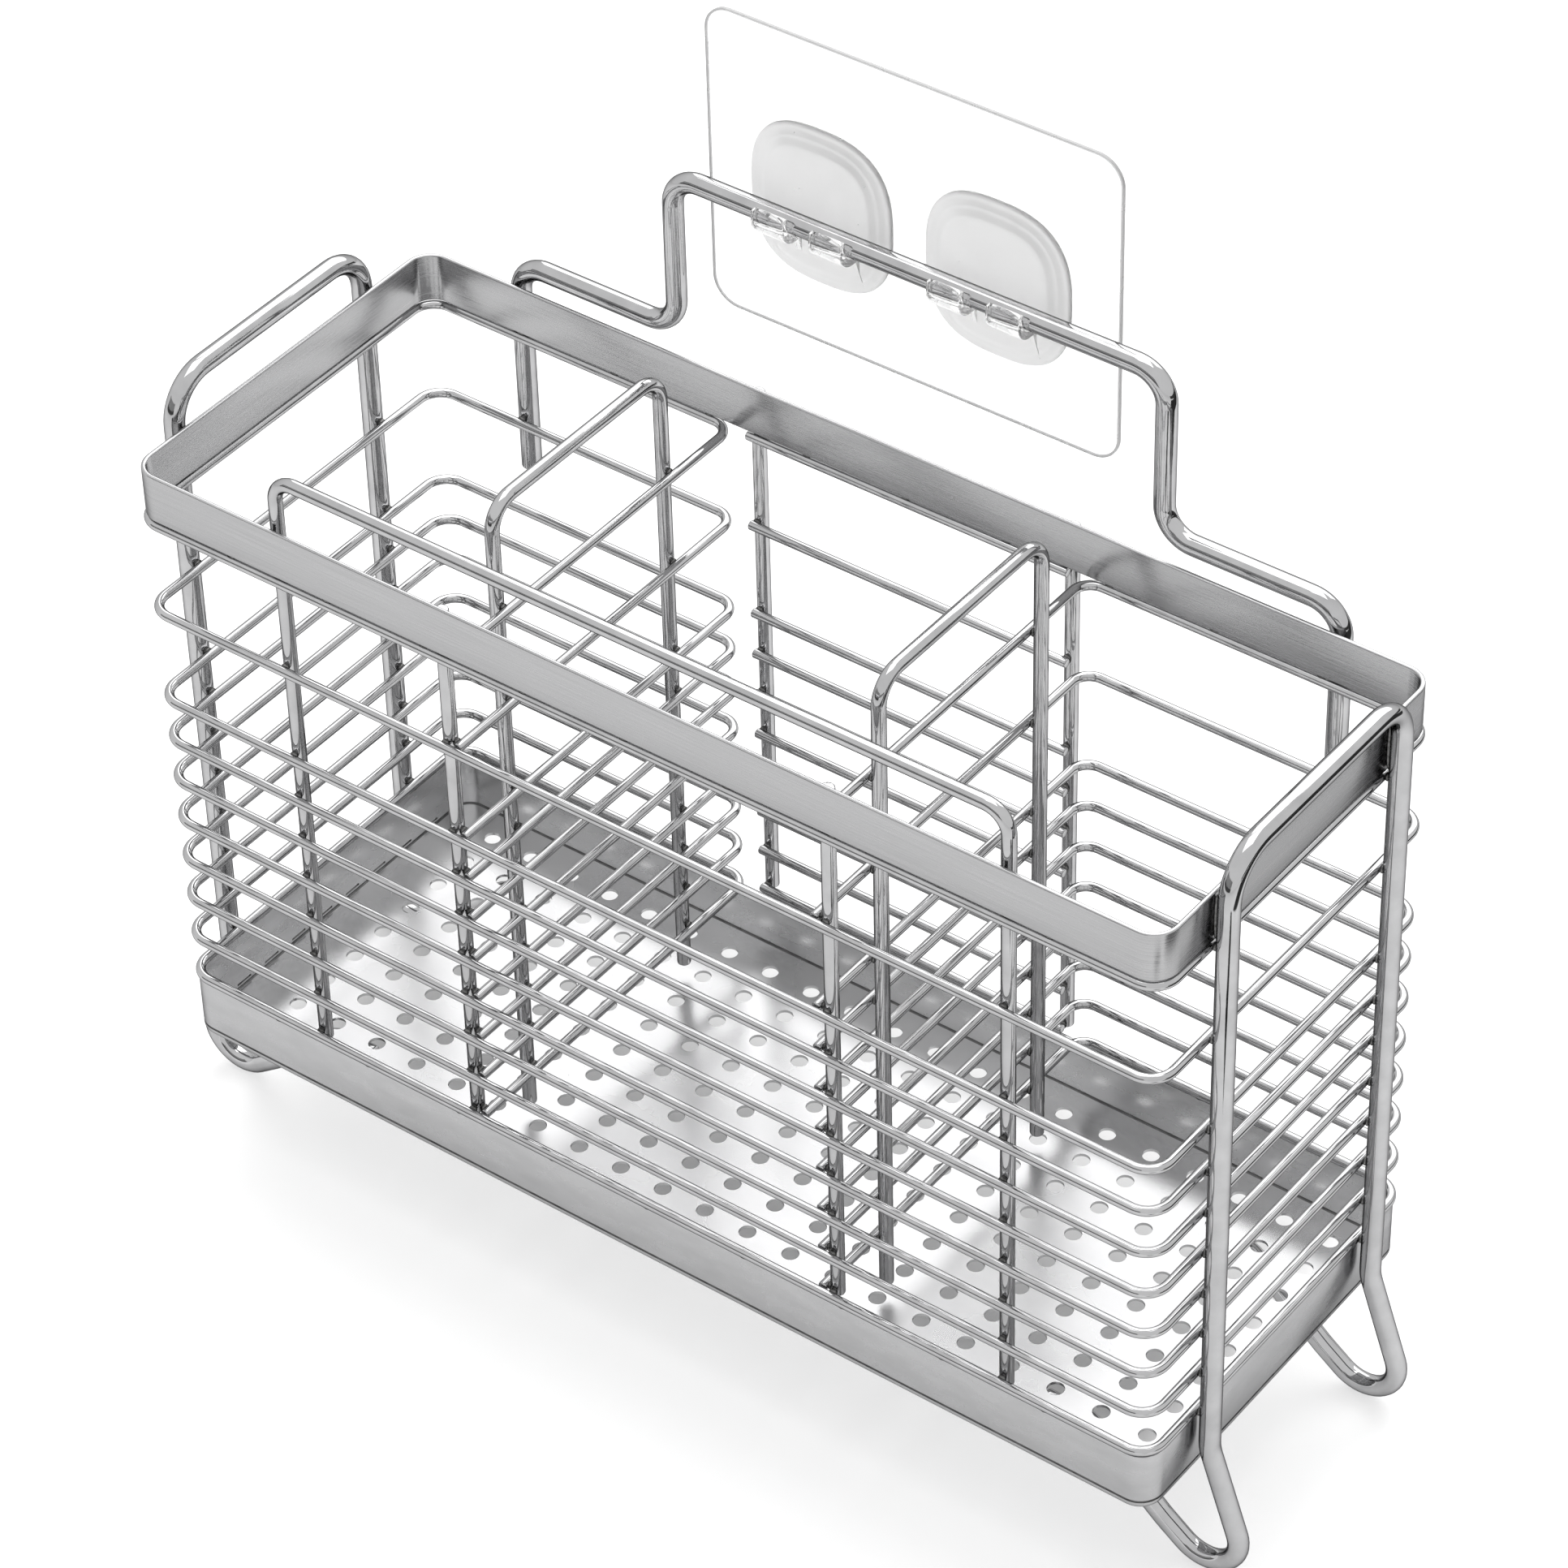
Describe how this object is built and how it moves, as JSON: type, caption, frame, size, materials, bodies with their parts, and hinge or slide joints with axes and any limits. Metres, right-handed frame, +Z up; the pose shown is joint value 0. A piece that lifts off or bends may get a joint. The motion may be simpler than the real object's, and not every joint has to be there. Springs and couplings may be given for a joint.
{
  "type": "utensil drying rack",
  "caption": "Wire utensil drying rack with three compartments, a holed drip tray, end handles, folded feet and a hanging bar held by a clear adhesive wall plate with double hooks.",
  "frame": {"origin": "bottom centre of the overall box, on the surface that the feet stand on", "axes": "+X along the length, to the right seen from the front; -Y is the open front, +Y the wall side with the hanger and the clear plate; +Z up"},
  "size_m": [0.3104, 0.1168, 0.294],
  "materials": {
    "polished_wire": "polished stainless wire",
    "brushed_band": "brushed stainless strip",
    "tray_sheet": "satin walls, polished floor",
    "clear_sheet": "clear glossy sheet",
    "clear_hook": "clear moulded plastic, slightly frosted"
  },
  "bodies": {
    "rack": {"back_hanger": "polished_wire", "back_post_left": "polished_wire", "back_post_right": "polished_wire", "divider_frame_left": "polished_wire", "divider_frame_right": "polished_wire", "drip_tray": "tray_sheet", "front_guard": "polished_wire", "front_post_left": "polished_wire", "front_post_right": "polished_wire", "level_wire_01": "polished_wire", "level_wire_02": "polished_wire", "level_wire_03": "polished_wire", "level_wire_04": "polished_wire", "level_wire_05": "polished_wire", "level_wire_06": "polished_wire", "level_wire_07": "polished_wire", "level_wire_08": "polished_wire", "level_wire_09": "polished_wire", "level_wire_10": "polished_wire", "middle_back_wire_01": "polished_wire", "middle_back_wire_02": "polished_wire", "middle_back_wire_03": "polished_wire", "middle_back_wire_04": "polished_wire", "middle_back_wire_05": "polished_wire", "middle_back_wire_06": "polished_wire", "middle_back_wire_07": "polished_wire", "middle_back_wire_08": "polished_wire", "middle_back_wire_09": "polished_wire", "middle_back_wire_10": "polished_wire", "rim_band": "brushed_band", "side_frame_left": "polished_wire", "side_frame_right": "polished_wire"},
    "hook_plate": {"adhesive_sheet": "clear_sheet", "hook_left": "clear_hook", "hook_right": "clear_hook"}
  },
  "joints": [
    {"name": "hook_lift", "type": "slide", "parent": "rack", "child": "hook_plate", "axis": [0, 0, -1], "range_m": [0, 0.02]}
  ]
}
